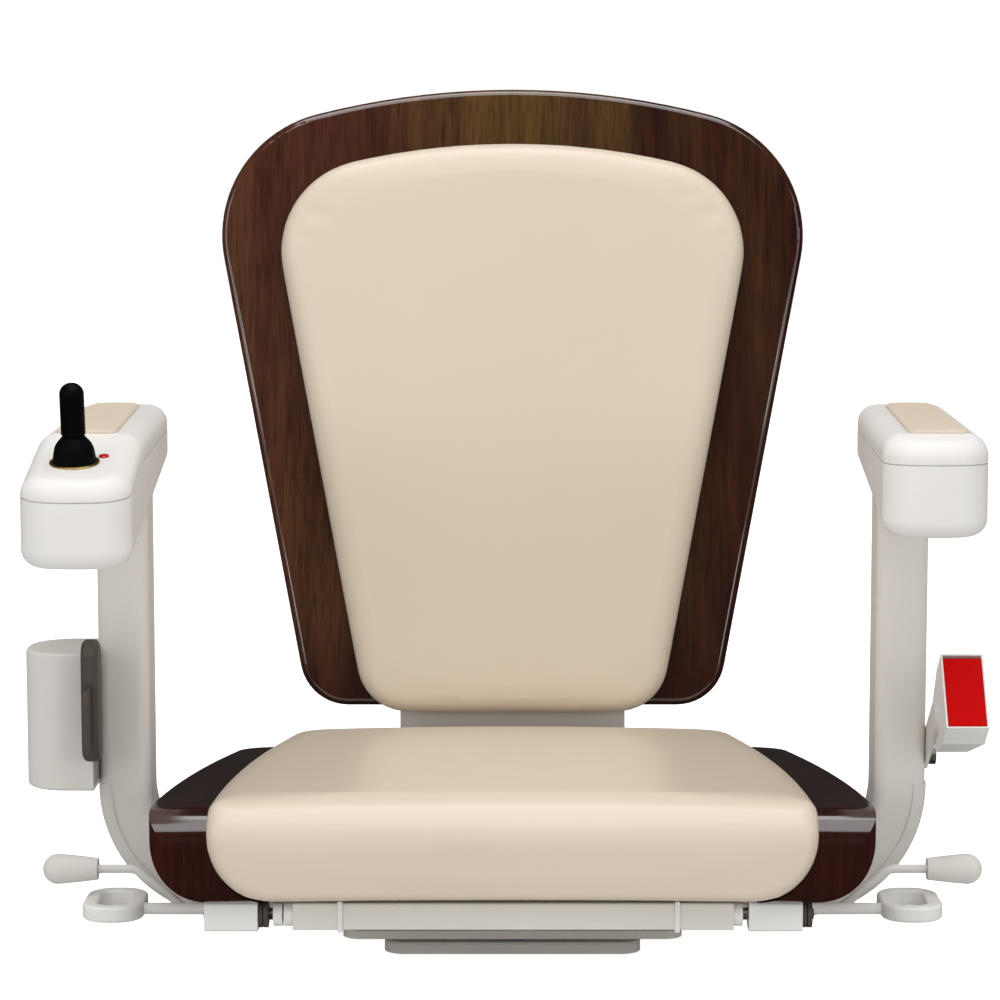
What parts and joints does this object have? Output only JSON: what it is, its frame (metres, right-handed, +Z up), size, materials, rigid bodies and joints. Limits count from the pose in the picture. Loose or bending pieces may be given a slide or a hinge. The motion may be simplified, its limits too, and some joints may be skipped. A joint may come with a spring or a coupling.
{
  "type": "stairlift chair",
  "caption": "Swivelling stairlift chair with a folding padded seat, padded wooden backrest, flip-up armrests, joystick, belt reel, buckle, swivel levers and pull loops.",
  "frame": {"origin": "centre of the base plate's underside and of its four bolt holes, on the swivel axis", "axes": "+Z up along the swivel axis, -Y the way the sitter faces, +X to the right of someone who stands in front of the chair and looks at it"},
  "size_m": [0.6655, 0.5534, 0.6071],
  "materials": {
    "painted_steel": "satin, light warm grey",
    "painted_bracket": "satin, light warm grey",
    "pale_rod": "satin, pale grey",
    "machined_steel": "turned",
    "zinc_fastener": "bright zinc",
    "spring_steel": "oiled",
    "bronze_bush": "plain bearing bronze",
    "walnut_gloss": "clear gloss lacquer, grain upright",
    "plywood": "bare",
    "cream_hide": "soft satin upholstery",
    "pod_plastic": "satin moulded",
    "trim_plastic": "satin moulded",
    "white_plastic": "smooth",
    "dark_plastic": "fine grain",
    "black_plastic": "satin",
    "red_plastic": "smooth",
    "black_rubber": "matt",
    "brass_ring": "satin",
    "webbing": "woven",
    "lamp_lens": "translucent",
    "board_green": "coated"
  },
  "bodies": {
    "base": {"base_plate": "painted_steel", "index_plate": "machined_steel", "swivel_stud": "machined_steel", "base_fasteners": "zinc_fastener"},
    "chair": {"turntable_plate": "painted_steel", "swivel_bushes": "bronze_bush", "side_plates": "painted_steel", "front_cross_member": "painted_bracket", "front_clips": "white_plastic", "front_shaft": "machined_steel", "end_blocks": "white_plastic", "end_washers": "dark_plastic", "latch_housing": "painted_steel", "latch_spring": "spring_steel", "pull_bushes": "dark_plastic", "pull_springs": "spring_steel", "arm_post_left": "painted_bracket", "arm_post_right": "painted_bracket", "arm_trims": "trim_plastic", "retractor_housing": "trim_plastic", "retractor_plate": "zinc_fastener", "spring_case": "black_plastic", "buckle_housing": "white_plastic", "buckle_spring": "spring_steel", "buckle_anchor": "painted_bracket", "pivot_pins": "machined_steel", "back_shell": "walnut_gloss", "back_pad": "cream_hide", "back_post": "painted_steel", "frame_fasteners": "zinc_fastener"},
    "latch": {"latch_pin": "machined_steel"},
    "lever_left": {"lever_rod_left": "pale_rod", "lever_grip_left": "trim_plastic"},
    "lever_right": {"lever_rod_right": "pale_rod", "lever_grip_right": "trim_plastic"},
    "loop_left": {"pull_loop_left": "white_plastic"},
    "loop_right": {"pull_loop_right": "white_plastic"},
    "seat": {"seat_shell": "walnut_gloss", "seat_board": "plywood", "seat_screws": "zinc_fastener", "seat_bumpers": "black_rubber", "seat_hinges": "zinc_fastener", "seat_cushion": "cream_hide"},
    "armrest_left": {"armrest_shell_left": "pod_plastic", "armrest_cap_left": "pod_plastic", "armrest_pad_left": "cream_hide", "joystick_ring": "brass_ring", "joystick_gimbal": "black_plastic", "status_lamp": "lamp_lens", "control_board": "board_green", "joystick_boot": "black_rubber"},
    "armrest_right": {"armrest_shell_right": "pod_plastic", "armrest_cap_right": "pod_plastic", "armrest_pad_right": "cream_hide"},
    "joystick": {"joystick_handle": "black_plastic"},
    "button": {"buckle_button": "red_plastic"},
    "belt": {"belt_leader": "webbing", "belt_handle": "dark_plastic", "belt_tongue": "dark_plastic"},
    "spool": {"belt_spool": "webbing"}
  },
  "joints": [
    {"name": "seat_swivel", "type": "hinge", "parent": "base", "child": "chair", "pos_m": [0, 0, 0.027], "axis": [0, 0, 1], "range_deg": [-90, 90]},
    {"name": "seat_fold", "type": "hinge", "parent": "chair", "child": "seat", "pos_m": [0, 0.105, 0.08], "axis": [-1, 0, 0], "range_deg": [0, 80]},
    {"name": "armrest_left_flip", "type": "hinge", "parent": "chair", "child": "armrest_left", "pos_m": [-0.274, 0, 0.338], "axis": [-1, 0, 0], "range_deg": [0, 90]},
    {"name": "armrest_right_flip", "type": "hinge", "parent": "chair", "child": "armrest_right", "pos_m": [0.274, 0, 0.338], "axis": [-1, 0, 0], "range_deg": [0, 90]},
    {"name": "joystick_tilt", "type": "hinge", "parent": "armrest_left", "child": "joystick", "pos_m": [-0.2769, -0.25181, 0.34689], "axis": [0, 0.9823, 0.1875], "range_deg": [-15, 15], "stiffness_Nm_per_rad": 0.4, "deforming": ["joystick_boot"]},
    {"name": "swivel_lever_left", "type": "hinge", "parent": "chair", "child": "lever_left", "pos_m": [-0.135, -0.11, 0.039], "axis": [0, -1, 0], "range_deg": [-9.8, 0]},
    {"name": "swivel_lever_right", "type": "hinge", "parent": "chair", "child": "lever_right", "pos_m": [0.135, -0.11, 0.039], "axis": [0, 1, 0], "range_deg": [-9.8, 0]},
    {"name": "latch_lift", "type": "slide", "parent": "chair", "child": "latch", "axis": [0, 0, 1], "range_m": [-0.006, 0], "deforming": ["latch_spring"]},
    {"name": "pull_loop_left_slide", "type": "slide", "parent": "chair", "child": "loop_left", "axis": [-1, 0, 0], "range_m": [0, 0.008], "stiffness_N_per_m": 400, "deforming": ["pull_springs"]},
    {"name": "pull_loop_right_slide", "type": "slide", "parent": "chair", "child": "loop_right", "axis": [1, 0, 0], "range_m": [0, 0.008], "stiffness_N_per_m": 400, "deforming": ["pull_springs"]},
    {"name": "buckle_press", "type": "slide", "parent": "chair", "child": "button", "axis": [0, 0.788, -0.6157], "range_m": [0, 0.004], "stiffness_N_per_m": 600, "deforming": ["buckle_spring"]},
    {"name": "belt_pull", "type": "slide", "parent": "chair", "child": "belt", "axis": [0, -1, 0], "range_m": [0, 0.025], "stiffness_N_per_m": 20},
    {"name": "spool_turn", "type": "hinge", "parent": "chair", "child": "spool", "pos_m": [-0.314, -0.048, 0.173], "axis": [0, 0, 1], "range_deg": [-78, 0]}
  ],
  "couplings": [
    {"joint": "swivel_lever_right", "follows": "swivel_lever_left", "ratio": 1},
    {"joint": "latch_lift", "follows": "swivel_lever_left", "m_per_rad": 0.035},
    {"joint": "spool_turn", "follows": "belt_pull", "rad_per_m": -54.348}
  ]
}
